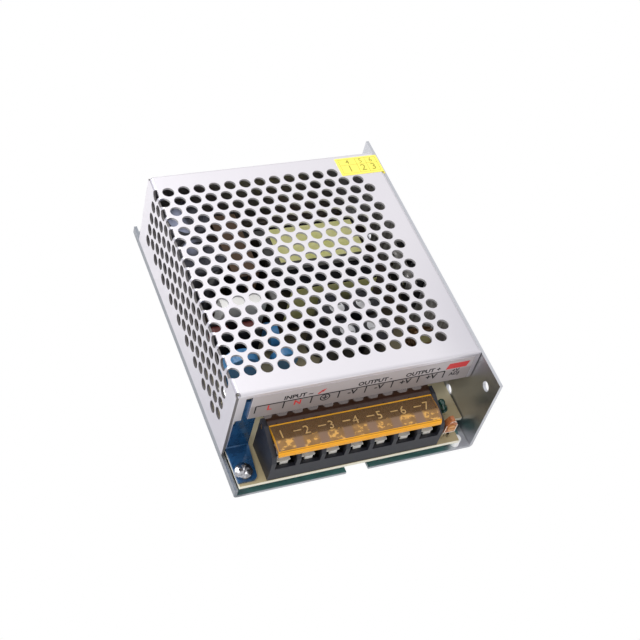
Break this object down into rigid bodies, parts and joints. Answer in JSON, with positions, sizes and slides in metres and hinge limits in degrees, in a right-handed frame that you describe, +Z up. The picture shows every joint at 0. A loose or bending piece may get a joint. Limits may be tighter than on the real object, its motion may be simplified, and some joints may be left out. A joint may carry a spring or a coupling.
{
  "type": "enclosed switching power supply",
  "caption": "Enclosed switching power supply in a folded sheet case with a perforated cover, a barrier terminal block and a hinged amber lid over the terminals.",
  "frame": {"origin": "centre of the footprint, on the underside of the chassis", "axes": "+X along the terminal row to the right, +Y from the terminals to the rear, +Z up"},
  "size_m": [0.097, 0.129, 0.0401],
  "materials": {
    "sheet": "satin",
    "cover_sheet": "satin",
    "screw_steel": "bright",
    "label": "matt",
    "seal": "matt",
    "insulation": "translucent",
    "board": "matt",
    "white_plastic": "matt",
    "blue_paint": "gloss",
    "black_plastic": "matt",
    "tinned_brass": "tinned",
    "amber_plastic": "translucent",
    "green_lens": "translucent",
    "orange_plastic": "matt",
    "ferrite": "matt",
    "yellow_tape": "satin",
    "copper": "enamelled copper wire",
    "blue_ceramic": "matt",
    "red_ceramic": "matt",
    "black_ceramic": "matt",
    "fuse_glass": "clear, tinned caps",
    "black_aluminium": "black anodised",
    "can_sleeve": "sleeve with bare aluminium top",
    "yellow_core": "gloss",
    "grey_pad": "matt",
    "tan_ceramic": "gloss"
  },
  "bodies": {
    "root": {"chassis": "sheet", "vent_cover": "cover_sheet", "cover_screws": "screw_steel", "fascia_label": "label", "seal_sticker": "seal", "insulation_sheet": "insulation", "circuit_board": "board", "standoffs": "screw_steel", "board_screws": "screw_steel", "corner_spacer": "white_plastic", "earth_bracket": "blue_paint", "bracket_screw": "screw_steel", "terminal_block": "black_plastic", "terminal_contacts": "tinned_brass", "wire_clamps": "screw_steel", "terminal_screws": "screw_steel", "power_led": "green_lens", "led_leads": "tinned_brass", "trimmer_body": "orange_plastic", "trimmer_pins": "tinned_brass", "transformer_core": "ferrite", "transformer_bobbin": "black_plastic", "transformer_coil": "yellow_tape", "transformer_tape": "yellow_tape", "choke_core": "ferrite", "choke_bobbin": "black_plastic", "choke_windings": "copper", "x_capacitor": "white_plastic", "y_capacitors": "blue_ceramic", "varistor": "red_ceramic", "thermistor": "black_ceramic", "fuse": "fuse_glass", "fuse_clips": "tinned_brass", "bridge_rectifier": "black_plastic", "heatsink": "black_aluminium", "bulk_capacitors": "can_sleeve", "output_capacitors": "can_sleeve", "toroid_core": "yellow_core", "toroid_winding": "copper", "power_transistors": "black_plastic", "transistor_leads": "tinned_brass", "insulator_pads": "grey_pad", "clamp_bar": "sheet", "clamp_screws": "screw_steel", "small_capacitor": "can_sleeve", "optocoupler": "white_plastic", "controller_chip": "black_plastic", "resistors": "tan_ceramic"},
    "lid": {"terminal_lid": "amber_plastic"},
    "rotor": {"trimmer_rotor": "orange_plastic"}
  },
  "joints": [
    {"name": "lid_hinge", "type": "hinge", "parent": "root", "child": "lid", "pos_m": [-0.0025, -0.0502, 0.0204], "axis": [-1, 0, 0], "range_deg": [0, 70]},
    {"name": "trimmer_turn", "type": "hinge", "parent": "root", "child": "rotor", "pos_m": [0.0359, -0.0616, 0.01435], "axis": [0, -1, 0], "range_deg": [-130, 130]}
  ]
}
